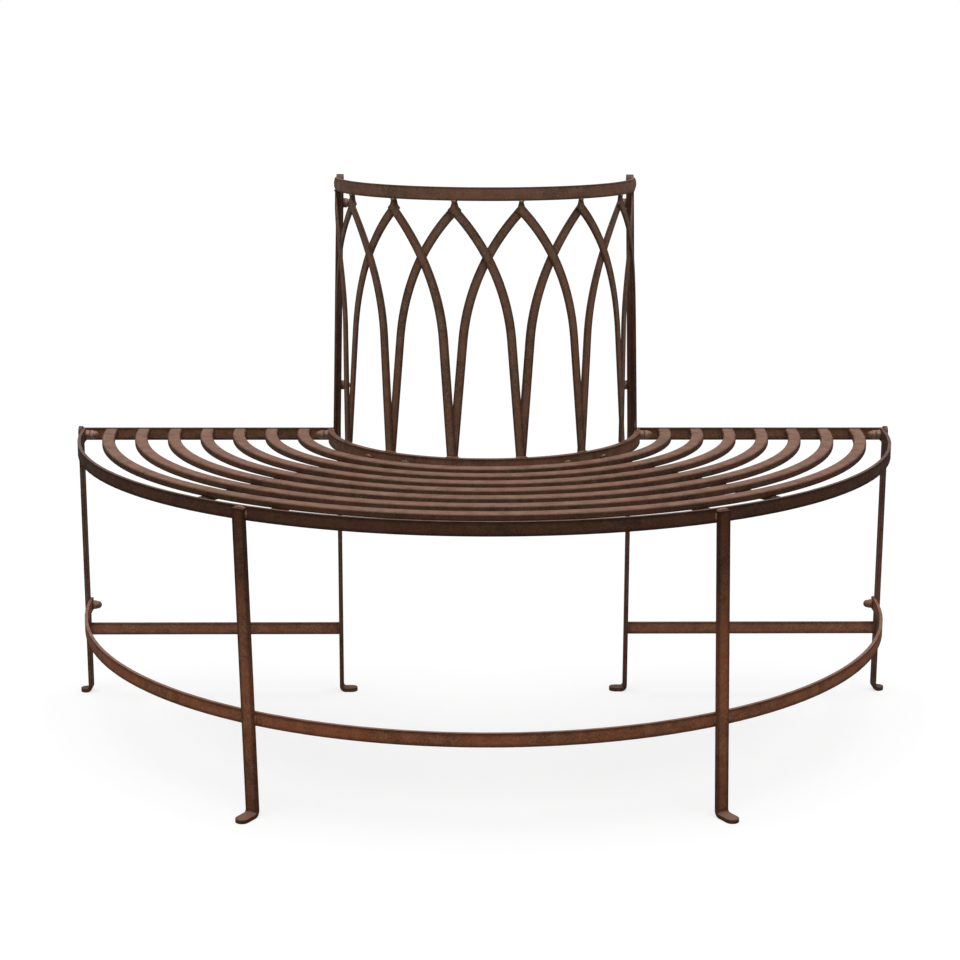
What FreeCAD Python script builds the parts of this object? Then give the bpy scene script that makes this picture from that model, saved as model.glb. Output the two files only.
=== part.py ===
import FreeCAD, Part
import math
import os
import Sketcher
from FreeCAD import Placement, Rotation, Vector

# Half-round tree bench of flat steel bar, in millimetres.
# The work is drawn about the centre of the half circle: X to the right, the open back on Y = 0,
# the seat towards -Y, the floor at Z = 0. Every piece is then moved back by half the seat's depth,
# so the finished bench stands with its origin on the floor in the middle of its own box.

doc = FreeCAD.newDocument("TreeBench")

# Driving dimensions
dimensions = {
    "rim_radius": 650,
    "ring_radius": 253,
    "bar_width": 20,
    "bar_thickness": 5,
    "leg_thickness": 6,
    "foot_rail_thickness": 4,
    "seat_height": 445,
    "slat_thickness": 10,
    "slat_corner": 2.2,
    "slat_end_reach": 614,
    "slat_end_pitch": 52,
    "slat_front_reach": 602,
    "slat_front_pitch": 47.8,
    "slat_drop": 1,
    "support_width": 16,
    "support_thickness": 6,
    "outer_support_angle": 38.4,
    "outer_support_offset": 31.8,
    "inner_support_angle": 29.2,
    "back_height": 850,
    "top_rail_radius": 237.5,
    "top_rail_proud": 2.6,
    "lattice_width": 14,
    "lattice_thickness": 3,
    "arch_pitch": 24.4,
    "arch_turn": 13.13,
    "arch_radius": 321,
    "arch_centre_height": 596,
    "arch_centre_side": 233.5,
    "arch_apex_side": 53.8,
    "arch_foot_side": 107.8,
    "neck_width": 10,
    "neck_tip_width": 5,
    "hoop_height": 149,
    "hoop_tilt": 0.6,
    "stretcher_top": 118,
    "front_leg_angle": 30.2,
    "front_leg_shift": -0.4,
    "front_leg_lean": 0.028,
    "front_leg_top": 442,
    "outer_leg_top": 449,
    "upright_top": 854,
    "front_toe_reach": 37,
    "outer_toe_reach": 20,
    "inner_toe_reach": 29,
    "bend_radius": 10,
    "bolt_inset": 10,
    "seat_bolt_inset": 12,
    "upper_bolt_height": 809,
    "lower_bolt_height": 517,
    "bolt_radius": 4,
    "hole_radius": 4.5,
    "head_radius": 8,
    "thread_in_nut": 9,
    "nut_flats": 13,
    "nut_height": 6.5,
    "cap_nut_height": 15,
    "dome_radius": 6.3,
}

sheet = doc.addObject("Spreadsheet::Sheet", "Dimensions")
for row, (word, number) in enumerate(dimensions.items(), start=1):
    sheet.set("A%d" % row, word)
    sheet.set("B%d" % row, str(number))
    sheet.setAlias("B%d" % row, word)
doc.recompute()


class Size:
    """A length that knows its number now and the sheet formula it comes from."""

    def __init__(self, number, formula):
        self.number = number
        self.formula = formula

    def __add__(self, other):
        other = as_size(other)
        return Size(self.number + other.number, "(%s + %s)" % (self.formula, other.formula))

    def __sub__(self, other):
        other = as_size(other)
        return Size(self.number - other.number, "(%s - %s)" % (self.formula, other.formula))

    def __mul__(self, other):
        other = as_size(other)
        return Size(self.number * other.number, "(%s * %s)" % (self.formula, other.formula))

    def __truediv__(self, other):
        other = as_size(other)
        return Size(self.number / other.number, "(%s / %s)" % (self.formula, other.formula))

    def __rmul__(self, other):
        return as_size(other) * self

    def __neg__(self):
        return as_size(-1) * self


def as_size(value):
    if isinstance(value, Size):
        return value
    return Size(float(value), "(%s)" % value)


def size(word):
    return Size(float(sheet.get(word)), "Dimensions." + word)


def root(value):
    return Size(math.sqrt(value.number), "sqrt(%s)" % value.formula)


# Sizes that follow from the driving dimensions
width = size("bar_width")
bar = size("bar_thickness")
leg = size("leg_thickness")
seat_top = size("seat_height")
seat_bottom = seat_top - width
rim_inner = size("rim_radius") - bar
ring_outer = size("ring_radius")
ring_inner = ring_outer - bar
foot_rail_inner = ring_inner - size("foot_rail_thickness")
back_inner = foot_rail_inner - bar
rail_bottom = size("back_height") - width
slat_top = seat_top - size("slat_drop")
slat_bottom = slat_top - size("slat_thickness")
support_bottom = slat_bottom - size("support_thickness")
leg_face = root(size("rim_radius") * size("rim_radius") - width * width)
ring_face = root(ring_outer * ring_outer - width * width)
panel_slope = (ring_inner - size("top_rail_radius")) / (rail_bottom - seat_top)
stile_face_high = size("top_rail_radius") - size("top_rail_proud")
back_slope = (foot_rail_inner - stile_face_high) / (rail_bottom - seat_top)
back_lean = math.degrees(math.atan(back_slope.number))
end_round = width / 2 - 0.1
past = 5
frame_shift = size("rim_radius") / 2

finished = []


def bind(thing, path, value):
    thing.setExpression(path, as_size(value).formula)


def new_body(name):
    body = doc.addObject("PartDesign::Body", name)
    body.Label = name
    return body


def finish(piece, name, turn=0.0):
    """Gives a piece its name and its place in the bench's own frame, and puts it on the list."""
    piece.Label = name
    piece.Placement = Placement(Vector(0, frame_shift.number, 0), Rotation(Vector(0, 0, 1), turn))
    bind(piece, "Placement.Base.y", frame_shift)
    finished.append(piece)


def finish_tilted(piece, name, tilt, pivot_y, pivot_z):
    """As finish, with the piece's front let down about a line along X."""
    rotation = Rotation(Vector(1, 0, 0), tilt)
    pivot = Vector(0, pivot_y.number, pivot_z.number)
    base = pivot - rotation.multVec(pivot) + Vector(0, frame_shift.number, 0)
    piece.Label = name
    piece.Placement = Placement(base, rotation)
    finished.append(piece)


def origin_plane(body, role):
    return [item for item in body.Origin.OriginFeatures if item.Role == role][0]


def new_sketch(body, role, along=0, across=0, lift=0, turn=0.0):
    """Sketch on one of the body's origin planes, moved in the plane by along and across, off it by lift."""
    sketch = body.newObject("Sketcher::SketchObject", "Sketch")
    sketch.AttachmentSupport = [(origin_plane(body, role), "")]
    sketch.MapMode = "FlatFace"
    place = Vector(as_size(along).number, as_size(across).number, as_size(lift).number)
    sketch.AttachmentOffset = Placement(place, Rotation(Vector(0, 0, 1), turn))
    for path, value in (("x", along), ("y", across), ("z", lift)):
        if isinstance(value, Size):
            bind(sketch, "AttachmentOffset.Base." + path, value)
    return sketch


def hold(sketch, kind, *items):
    """Adds one constraint; a Size at its end becomes the number and the bound formula."""
    last = items[-1]
    if not isinstance(last, Size):
        return sketch.addConstraint(Sketcher.Constraint(kind, *items))
    index = sketch.addConstraint(Sketcher.Constraint(kind, *items[:-1], last.number))
    sketch.setExpression("Constraints[%d]" % index, last.formula)
    return index


def hold_point(sketch, curve, end, x=None, y=None):
    """Ties one end of a curve to its distances from the sketch's axes."""
    for kind, axis, value in (("DistanceX", -2, x), ("DistanceY", -1, y)):
        if value is None:
            continue
        value = as_size(value)
        if value.number == 0:
            hold(sketch, "PointOnObject", curve, end, axis)
        else:
            hold(sketch, kind, -1, 1, curve, end, value)


def polygon(sketch, points):
    """Closed outline of straight lines through points given as pairs of sizes."""
    corners = [Vector(as_size(x).number, as_size(y).number, 0) for x, y in points]
    lines = []
    for start, end in zip(corners, corners[1:] + corners[:1]):
        lines.append(sketch.addGeometry(Part.LineSegment(start, end), False))
    for line, following in zip(lines, lines[1:] + lines[:1]):
        hold(sketch, "Coincident", line, 2, following, 1)
    for line, (x, y) in zip(lines, points):
        hold_point(sketch, line, 1, x, y)


def rectangle(sketch, x_one, x_two, y_one, y_two):
    polygon(sketch, [(x_one, y_one), (x_two, y_one), (x_two, y_two), (x_one, y_two)])


def pad(body, sketch, length, middle=False):
    feature = body.newObject("PartDesign::Pad", "Pad")
    feature.Profile = sketch
    feature.Length = as_size(length).number
    bind(feature, "Length", length)
    feature.Midplane = middle
    return feature


def pocket(body, sketch, length, middle=False, reverse=False):
    feature = body.newObject("PartDesign::Pocket", "Pocket")
    feature.Profile = sketch
    feature.Length = as_size(length).number
    bind(feature, "Length", length)
    feature.Midplane = middle
    feature.Reversed = reverse
    return feature


def turned(body, kind, sketch, axis, angle=360.0, reverse=False):
    feature = body.newObject("PartDesign::" + kind, kind)
    feature.Profile = sketch
    feature.ReferenceAxis = (sketch, [axis])
    feature.Angle = angle
    feature.Reversed = reverse
    return feature


def round_edges(body, centres, radius):
    """Rounds the edges of the body whose middles lie at the given points."""
    doc.recompute()
    base = body.Tip
    names = []
    for number, edge in enumerate(base.Shape.Edges, start=1):
        if any(edge.CenterOfMass.distanceToPoint(point) < 0.3 for point in centres):
            names.append("Edge%d" % number)
    feature = body.newObject("PartDesign::Fillet", "Fillet")
    feature.Base = (base, names)
    feature.Radius = as_size(radius).number
    bind(feature, "Radius", radius)
    return feature


def ease_top(body, least_radius, amount):
    """Chamfers the upper edges that run along a rolled bar of at least the given radius."""
    doc.recompute()
    base = body.Tip
    top = base.Shape.BoundBox.ZMax
    names = []
    for number, edge in enumerate(base.Shape.Edges, start=1):
        curved = edge.Length > least_radius.number
        if curved and edge.BoundBox.ZMin > top - amount.number:
            names.append("Edge%d" % number)
    feature = body.newObject("PartDesign::Chamfer", "Chamfer")
    feature.Base = (base, names)
    feature.Size = amount.number
    bind(feature, "Size", amount)


# Rolled half rings

def half_ring(body, outer, inner, bottom, height, end_gap=0, back=0):
    """Half ring on the seat side, with its ends cut straight at end_gap in front of the back plane.

    back moves the centre of both arcs behind the back plane, or in front of it where it is negative.
    """
    sketch = new_sketch(body, "XY_Plane", lift=bottom)
    gap = as_size(end_gap).number
    shift = as_size(back).number
    arcs = []
    for radius in (outer, inner):
        rise = math.asin((gap + shift) / radius.number)
        circle = Part.Circle(Vector(0, shift, 0), Vector(0, 0, 1), radius.number)
        arc = Part.ArcOfCircle(circle, math.pi + rise, 2 * math.pi - rise)
        arcs.append(sketch.addGeometry(arc, False))
        if shift == 0:
            hold(sketch, "Coincident", arcs[-1], 3, -1, 1)
        else:
            hold_point(sketch, arcs[-1], 3, 0, back)
        hold(sketch, "Radius", arcs[-1], radius)
    for end, sign in ((1, -1), (2, 1)):
        reaches = [math.sqrt(radius.number ** 2 - (gap + shift) ** 2) for radius in (outer, inner)]
        start = Vector(sign * reaches[0], -gap, 0)
        stop = Vector(sign * reaches[1], -gap, 0)
        line = sketch.addGeometry(Part.LineSegment(start, stop), False)
        hold(sketch, "Coincident", line, 1, arcs[0], end)
        hold(sketch, "Coincident", line, 2, arcs[1], end)
        hold(sketch, "Horizontal", line)
        hold_point(sketch, line, 1, y=-as_size(end_gap))
    return pad(body, sketch, height)


def cut_flats(body, from_x, to_x):
    """Flat seats for legs and nuts at both ends of a rolled bar, over the last bar width."""
    sketch = new_sketch(body, "XY_Plane")
    for side in (-1, 1):
        rectangle(sketch, side * from_x, side * to_x, -width, past)
    pocket(body, sketch, 2 * size("back_height"), middle=True)


def bolt_hole(body, side, height, inset, start_x, end_x, lean=0.0, face_x=None):
    """Bolt hole along X at one end of the bench; face_x is a countersunk face, if the piece has one."""
    centre = (start_x + end_x) / 2
    sketch = new_sketch(body, "XZ_Plane", along=side * centre, across=height, lift=inset, turn=side * lean)
    half = (end_x - start_x) / 2 + 1
    hole = size("hole_radius")
    if face_x is None:
        rectangle(sketch, -half, half, 0, hole)
    else:
        outward = 1 if face_x.number > centre.number else -1
        face = side * (face_x - centre)
        head = size("head_radius")
        step = side * outward
        polygon(sketch, [
            (face + step * 1, 0),
            (face + step * 1, head),
            (face, head),
            (face - step * (head - hole), hole),
            (-step * half, hole),
            (-step * half, 0),
        ])
    turned(body, "Groove", sketch, "H_Axis")


def seat_outer_rim():
    body = new_body("seat_outer_rim")
    half_ring(body, size("rim_radius"), rim_inner, seat_bottom, width)
    cut_flats(body, leg_face, size("rim_radius") + 1)
    cut_flats(body, rim_inner - 2, rim_inner)
    for side in (-1, 1):
        bolt_hole(body, side, seat_top - width / 2, size("seat_bolt_inset"), rim_inner, leg_face)
    finish(body, "seat_outer_rim")


def seat_inner_rim():
    body = new_body("seat_inner_rim")
    half_ring(body, ring_outer, ring_inner, seat_bottom, width)
    cut_flats(body, ring_face, ring_outer + 1)
    for side in (-1, 1):
        bolt_hole(body, side, seat_top - width / 2, size("seat_bolt_inset"), ring_inner, ring_face)
    finish(body, "seat_inner_rim")


def seat_end_rail(name, side):
    body = new_body(name)
    sketch = new_sketch(body, "XY_Plane", lift=seat_bottom)
    rectangle(sketch, side * ring_face, side * rim_inner, -bar, 0)
    pad(body, sketch, width)
    finish(body, name)


def seat_slat(number):
    """Slat on the flat, its upper corners eased for sitting. At the ends the slats share the rail evenly;
    round the front the outer ones run a little flatter than the rims and the inner ones a little fuller."""
    name = "seat_slat_%d" % number
    body = new_body(name)
    end_reach = size("slat_end_reach") - (number - 1) * size("slat_end_pitch")
    front_reach = size("slat_front_reach") - (number - 1) * size("slat_front_pitch")
    outer = (end_reach * end_reach + front_reach * front_reach) / (2 * front_reach)
    half_ring(body, outer, outer - width, slat_bottom, size("slat_thickness"), bar, outer - front_reach)
    ease_top(body, outer - width, size("slat_corner"))
    finish(body, name)


def seat_support(name, turn, offset):
    """Flat bar under the slats, offset sideways from the radial line, its ends cut to both rims."""
    body = new_body(name)
    sketch = new_sketch(body, "XY_Plane", lift=support_bottom)
    half = size("support_width") / 2
    sides = (offset - half, offset + half)
    arcs = []
    for radius in (rim_inner, ring_outer):
        spans = [math.asin(side.number / radius.number) for side in sides]
        circle = Part.Circle(Vector(0, 0, 0), Vector(0, 0, 1), radius.number)
        arc = Part.ArcOfCircle(circle, 1.5 * math.pi + spans[0], 1.5 * math.pi + spans[1])
        arcs.append(sketch.addGeometry(arc, False))
        hold(sketch, "Coincident", arcs[-1], 3, -1, 1)
        hold(sketch, "Radius", arcs[-1], radius)
    for end, side in ((1, sides[0]), (2, sides[1])):
        start = Vector(side.number, -math.sqrt(rim_inner.number ** 2 - side.number ** 2), 0)
        stop = Vector(side.number, -math.sqrt(ring_outer.number ** 2 - side.number ** 2), 0)
        line = sketch.addGeometry(Part.LineSegment(start, stop), False)
        hold(sketch, "Coincident", line, 1, arcs[0], end)
        hold(sketch, "Coincident", line, 2, arcs[1], end)
        hold(sketch, "Vertical", line)
        hold_point(sketch, line, 1, x=side)
    pad(body, sketch, size("support_thickness"))
    finish(body, name, turn)


def lower_hoop():
    """Half ring that ties the legs; its front hangs a little lower than its bolted ends."""
    body = new_body("lower_hoop")
    height = size("hoop_height")
    half_ring(body, size("rim_radius"), rim_inner, height - width / 2, width)
    cut_flats(body, leg_face, size("rim_radius") + 1)
    cut_flats(body, rim_inner - 2, rim_inner)
    for side in (-1, 1):
        bolt_hole(body, side, height, size("bolt_inset"), rim_inner, leg_face)
    finish_tilted(body, "lower_hoop", size("hoop_tilt").number, -size("bolt_inset"), height)


# Legs, each one flat bar with its foot bent out to a toe

def leg_outline(face, away, toe_tip, top):
    """Side outline of a leg: face is the welded or bolted face, away the other face."""
    return [(toe_tip, 0), (face, 0), (face, top), (away, top), (away, leg), (toe_tip, leg)]


def bend_and_round(body, face, away, toe_tip, middle_y, top=None):
    """Bends the foot, rounds the toe's end and, if top is given, rounds the top of the bar."""
    half = width.number / 2
    lift = leg.number
    round_edges(body, [Vector(face.number, middle_y, 0)], size("bend_radius"))
    round_edges(body, [Vector(away.number, middle_y, lift)], size("bend_radius") - leg)
    tip = [Vector(toe_tip.number, middle_y + sign * half, lift / 2) for sign in (-1, 1)]
    round_edges(body, tip, end_round)
    if top is not None:
        ends = [Vector(top[0], middle_y + sign * half, top[1]) for sign in (-1, 1)]
        round_edges(body, ends, end_round)


def front_leg(name, turn):
    """Front leg, drawn pointing along +X and turned to its place; above the bend it leans to the left."""
    body = new_body(name)
    face = size("rim_radius")
    away = face + leg
    toe_tip = face + size("front_toe_reach")
    top = size("front_leg_top")
    bend = size("bend_radius")
    sketch = new_sketch(body, "XZ_Plane")
    polygon(sketch, leg_outline(face, away, toe_tip, top))
    pad(body, sketch, 4 * width, middle=True)
    half = width / 2
    lean = size("front_leg_lean") * (top - bend)
    waste = new_sketch(body, "YZ_Plane")
    for side in (-1, 1):
        polygon(waste, [
            (side * half, -past),
            (side * half, bend),
            (side * half - lean, top),
            (side * half - lean, top + past),
            (side * 3 * width, top + past),
            (side * 3 * width, -past),
        ])
    pocket(body, waste, 3 * size("rim_radius"), middle=True)
    bend_and_round(body, face, away, toe_tip, 0)
    finish(body, name, turn)


def rear_outer_leg(name, side):
    body = new_body(name)
    face = side * leg_face
    away = side * (leg_face + leg)
    toe_tip = side * (leg_face + size("outer_toe_reach"))
    top = size("outer_leg_top")
    sketch = new_sketch(body, "XZ_Plane")
    polygon(sketch, leg_outline(face, away, toe_tip, top))
    pad(body, sketch, width)
    middle_x = (face.number + away.number) / 2
    bend_and_round(body, face, away, toe_tip, -width.number / 2, (middle_x, top.number))
    outer_face = leg_face + leg
    bolt_hole(body, side, seat_top - width / 2, size("seat_bolt_inset"), leg_face, outer_face,
              face_x=outer_face)
    bolt_hole(body, side, size("hoop_height"), size("bolt_inset"), leg_face, outer_face,
              face_x=outer_face)
    finish(body, name)


def rear_stretcher(name, side):
    body = new_body(name)
    sketch = new_sketch(body, "XY_Plane", lift=size("stretcher_top") - width)
    middle = -width / 2
    rectangle(sketch, side * back_inner, side * leg_face, middle - bar / 2, middle + bar / 2)
    pad(body, sketch, width)
    finish(body, name)


def upright_face(height):
    """Outer face of the upright at a height above the seat, where it leans in with the back."""
    return back_inner - back_slope * (height - seat_top)


def rear_inner_leg(name, side):
    """Leg and back upright in one bar: upright to the seat, leaning in above it, toe bent to the tree."""
    body = new_body(name)
    top = size("upright_top")
    face = side * back_inner
    away = side * (back_inner - leg)
    toe_tip = side * (back_inner - size("inner_toe_reach"))
    sketch = new_sketch(body, "XZ_Plane")
    polygon(sketch, [
        (toe_tip, 0),
        (face, 0),
        (face, seat_top),
        (side * upright_face(top), top),
        (side * (upright_face(top) - leg), top),
        (away, seat_top),
        (away, leg),
        (toe_tip, leg),
    ])
    pad(body, sketch, width)
    middle_x = side * (upright_face(top).number - leg.number / 2)
    bend_and_round(body, face, away, toe_tip, -width.number / 2, (middle_x, top.number))
    tree_face = back_inner - leg
    bolt_hole(body, side, seat_top - width / 2, size("seat_bolt_inset"), tree_face, back_inner,
              face_x=tree_face)
    for height in (size("upper_bolt_height"), size("lower_bolt_height")):
        outer = upright_face(height)
        bolt_hole(body, side, height, size("bolt_inset"), outer - leg, outer, lean=back_lean)
    finish(body, name)


# Back panel

def back_bottom_rail():
    body = new_body("back_bottom_rail")
    half_ring(body, ring_inner, foot_rail_inner, seat_bottom, width)
    cut_flats(body, foot_rail_inner - 2, foot_rail_inner)
    for side in (-1, 1):
        bolt_hole(body, side, seat_top - width / 2, size("seat_bolt_inset"), foot_rail_inner, ring_inner)
    finish(body, "back_bottom_rail")


def back_top_rail():
    """Slightly conical band that keeps the lean of the back; its ends meet the stiles' front edges."""
    body = new_body("back_top_rail")
    top = size("back_height")
    outer_low = size("top_rail_radius")
    outer_high = outer_low - panel_slope * width
    sketch = new_sketch(body, "XZ_Plane")
    polygon(sketch, [
        (outer_low - bar, rail_bottom),
        (outer_low, rail_bottom),
        (outer_high, top),
        (outer_high - bar, top),
    ])
    turned(body, "Revolution", sketch, "V_Axis", angle=180.0, reverse=True)
    ends = new_sketch(body, "XY_Plane")
    rectangle(ends, -size("rim_radius"), size("rim_radius"), -width, width)
    pocket(body, ends, 3 * size("back_height"), middle=True)
    finish(body, "back_top_rail")


def back_stile(name, side):
    """End bar of the back panel: bolted against the upright over its whole height, with the same lean."""
    body = new_body(name)
    top = size("upright_top")
    sketch = new_sketch(body, "XZ_Plane")
    polygon(sketch, [
        (side * back_inner, seat_bottom),
        (side * foot_rail_inner, seat_bottom),
        (side * foot_rail_inner, seat_top),
        (side * (upright_face(top) + bar), top),
        (side * upright_face(top), top),
        (side * back_inner, seat_top),
    ])
    pad(body, sketch, width)
    middle_x = side * (upright_face(top).number + bar.number / 2)
    half = width.number / 2
    ends = [Vector(middle_x, -half + sign * half, top.number) for sign in (-1, 1)]
    round_edges(body, ends, end_round)
    bolt_hole(body, side, seat_top - width / 2, size("seat_bolt_inset"), back_inner, foot_rail_inner)
    for height in (size("upper_bolt_height"), size("lower_bolt_height")):
        inner = upright_face(height)
        bolt_hole(body, side, height, size("bolt_inset"), inner, inner + bar, lean=back_lean,
                  face_x=inner + bar)
    finish(body, name)


def lancet_outline(sketch, way):
    """Half of a lancet arch drawn as one bent bar, way +1 falling to the right, -1 to the left.

    A straight lower leg runs into an arc that leans over to the apex. There the bar is cut to the
    outer edge of its partner, and a narrow neck reaches up to the rail.
    """
    apex = -size("arch_apex_side")
    centre_x = apex - size("arch_centre_side")
    centre_y = size("arch_centre_height")
    half = size("lattice_width") / 2
    outer = size("arch_radius") + half
    inner = size("arch_radius") - half
    foot_edge = size("arch_foot_side") + apex
    neck_right = apex + size("neck_width") / 2
    neck_left = apex - size("neck_width") / 2
    tip_right = apex + size("neck_tip_width") / 2
    tip_left = apex - size("neck_tip_width") / 2
    spread = 2 * size("arch_centre_side")
    tail = centre_x + spread / 2 + (inner * inner - outer * outer) / (2 * spread)

    cx = centre_x.number
    cy = centre_y.number
    rise = seat_top.number - cy
    reach = math.hypot(foot_edge.number - cx, rise)
    lean = math.atan2(rise, foot_edge.number - cx) + math.acos(outer.number / reach)

    def on_arc(radius, x):
        return Vector(way * x, cy + math.sqrt(radius.number ** 2 - (x - cx) ** 2), 0)

    def at_lean(radius):
        return Vector(way * (cx + radius.number * math.cos(lean)), cy + radius.number * math.sin(lean), 0)

    def foot(radius):
        tangent = at_lean(radius)
        drop = tangent.y - seat_top.number
        return Vector(tangent.x + way * drop * math.tan(lean), seat_top.number, 0)

    top = rail_bottom.number
    points = [
        foot(inner),
        foot(outer),
        at_lean(outer),
        on_arc(outer, neck_right.number),
        Vector(way * tip_right.number, top, 0),
        Vector(way * tip_left.number, top, 0),
        Vector(way * neck_left.number, on_arc(outer, neck_right.number).y, 0),
        on_arc(inner, tail.number),
        at_lean(inner),
    ]

    def bow(radius, first, last):
        centre = Vector(way * cx, cy, 0)
        angles = [math.atan2(p.y - centre.y, p.x - centre.x) for p in (first, last)]
        return Part.ArcOfCircle(Part.Circle(centre, Vector(0, 0, 1), radius.number), *sorted(angles))

    curves = []
    for index, start in enumerate(points):
        end = points[(index + 1) % len(points)]
        if index == 2:
            shape = bow(outer, start, end)
        elif index == 7:
            shape = bow(inner, start, end)
        else:
            shape = Part.LineSegment(start, end)
        curves.append(sketch.addGeometry(shape, False))
    base, right, outer_arc, rise_right, cap, rise_left, cut, inner_arc, left = curves

    # An arc always runs anticlockwise, so its ends change places when the bar is mirrored.
    low, high = (1, 2) if way > 0 else (2, 1)
    hold(sketch, "Coincident", base, 2, right, 1)
    hold(sketch, "Tangent", right, 2, outer_arc, low)
    hold(sketch, "Coincident", outer_arc, high, rise_right, 1)
    hold(sketch, "Coincident", rise_right, 2, cap, 1)
    hold(sketch, "Coincident", cap, 2, rise_left, 1)
    hold(sketch, "Coincident", rise_left, 2, cut, 1)
    hold(sketch, "Coincident", cut, 2, inner_arc, high)
    hold(sketch, "Tangent", inner_arc, low, left, 1)
    hold(sketch, "Coincident", left, 2, base, 1)
    hold(sketch, "Horizontal", base)
    hold(sketch, "Horizontal", cap)
    hold(sketch, "Coincident", outer_arc, 3, inner_arc, 3)
    hold(sketch, "Parallel", left, right)
    hold(sketch, "Radius", outer_arc, outer)
    hold(sketch, "Radius", inner_arc, inner)
    hold_point(sketch, outer_arc, 3, way * centre_x, centre_y)
    hold_point(sketch, base, 2, way * foot_edge, seat_top)
    hold_point(sketch, cap, 1, way * tip_right, rail_bottom)
    hold_point(sketch, cap, 2, way * tip_left)
    hold_point(sketch, rise_right, 1, way * neck_right)
    hold_point(sketch, rise_left, 2, way * neck_left)
    hold(sketch, "Horizontal", rise_right, 1, rise_left, 2)
    hold_point(sketch, inner_arc, high, way * tail)


def lattice_bar(name, place, way):
    """One lattice bar: place is its apex, 0 to 7 from the left; falling bars lie in the outer layer."""
    body = new_body(name)
    outline = new_sketch(body, "XZ_Plane")
    lancet_outline(outline, way)
    pad(body, outline, ring_outer + width)

    thickness = size("lattice_thickness")
    layer_outer = ring_inner if way > 0 else ring_inner - thickness
    low = seat_top - width
    high = rail_bottom + width
    drop_low = panel_slope * (low - seat_top)
    drop_high = panel_slope * (high - seat_top)
    layer = new_sketch(body, "YZ_Plane")
    polygon(layer, [
        (0, low),
        (layer_outer - thickness - drop_low, low),
        (layer_outer - thickness - drop_high, high),
        (0, high),
    ])
    polygon(layer, [
        (layer_outer - drop_low, low),
        (ring_outer + 3 * width, low),
        (ring_outer + 3 * width, high),
        (layer_outer - drop_high, high),
    ])
    turned(body, "Groove", layer, "V_Axis")

    pitch = size("arch_pitch").number
    turn = (place - 3.5) * pitch + way * size("arch_turn").number
    foot_place = place + way
    for end_place, side in ((0, -1), (7, 1)):
        if end_place in (place, foot_place):
            trim = new_sketch(body, "XY_Plane", turn=-turn)
            rectangle(trim, side * (ring_outer - 5 * width), side * (ring_outer + 3 * width), -width, 3 * width)
            pocket(body, trim, 2 * size("back_height"), middle=True)
    finish(body, name, turn)


# Fasteners

def bolt(name, grip):
    """Countersunk bolt along -X, with its flat head face at X = 0."""
    body = new_body(name)
    head = size("head_radius")
    shank = size("bolt_radius")
    tip = -(grip + size("thread_in_nut"))
    sketch = new_sketch(body, "XZ_Plane")
    polygon(sketch, [
        (0, 0),
        (0, head),
        (-(head - shank), shank),
        (tip, shank),
        (tip, 0),
    ])
    turned(body, "Revolution", sketch, "H_Axis")
    return body


def hexagon(sketch):
    flat = size("nut_flats") / 2
    corner = size("nut_flats") / math.sqrt(3)
    polygon(sketch, [
        (0, corner),
        (-flat, corner / 2),
        (-flat, -corner / 2),
        (0, -corner),
        (flat, -corner / 2),
        (flat, corner / 2),
    ])


def nut_bore(body, depth):
    sketch = new_sketch(body, "XZ_Plane")
    rectangle(sketch, -1, depth, 0, size("bolt_radius"))
    turned(body, "Groove", sketch, "H_Axis")


def hex_nut():
    """Plain nut along +X from its seat at X = 0."""
    body = new_body("HexNut")
    sketch = new_sketch(body, "YZ_Plane")
    hexagon(sketch)
    pad(body, sketch, size("nut_height"))
    nut_bore(body, size("nut_height") + 1)
    return body


def dome_section(body, lift, radius):
    """Twelve-sided outline across the nut, so that a dome seen this small stays light."""
    sketch = new_sketch(body, "YZ_Plane", lift=lift)
    angles = [math.radians(30 * step) for step in range(12)]
    polygon(sketch, [(radius * math.cos(angle), radius * math.sin(angle)) for angle in angles])
    return sketch


def cap_nut():
    """Domed nut along +X from its seat at X = 0, bored part of the way."""
    body = new_body("CapNut")
    sketch = new_sketch(body, "YZ_Plane")
    hexagon(sketch)
    pad(body, sketch, size("nut_height"))
    radius = size("dome_radius")
    shoulder = size("cap_nut_height") - radius
    sections = [dome_section(body, size("nut_height") / 2, radius)]
    for degrees in (0, 35, 65):
        angle = math.radians(degrees)
        sections.append(dome_section(body, shoulder + radius * math.sin(angle), radius * math.cos(angle)))
    dome = body.newObject("PartDesign::AdditiveLoft", "Dome")
    dome.Profile = sections[0]
    dome.Sections = sections[1:]
    dome.Ruled = True
    nut_bore(body, size("cap_nut_height") - size("dome_radius") / 2)
    return body


def copy_at(original, number, side, facing, x, inset, height, lean=0.0):
    """Copy of a fastener on one side of the bench; facing +1 points away from the tree, -1 towards it."""
    copy = doc.addObject("App::Link", "%s_%d" % (original.Name, number))
    copy.LinkedObject = original
    towards = 0.0 if side * facing > 0 else 180.0
    tilt = -facing * lean
    rotation = Rotation(Vector(0, 0, 1), towards) * Rotation(Vector(0, 1, 0), tilt)
    copy.Placement = Placement(Vector(side * x.number, -inset.number, height.number), rotation)
    bind(copy, "Placement.Base.x", side * x)
    bind(copy, "Placement.Base.y", -inset)
    bind(copy, "Placement.Base.z", height)
    return copy


def group(name, copies):
    """Identical fasteners as one named piece of separate solids."""
    compound = doc.addObject("Part::Compound", name)
    compound.Links = copies
    finish(compound, name)


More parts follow.
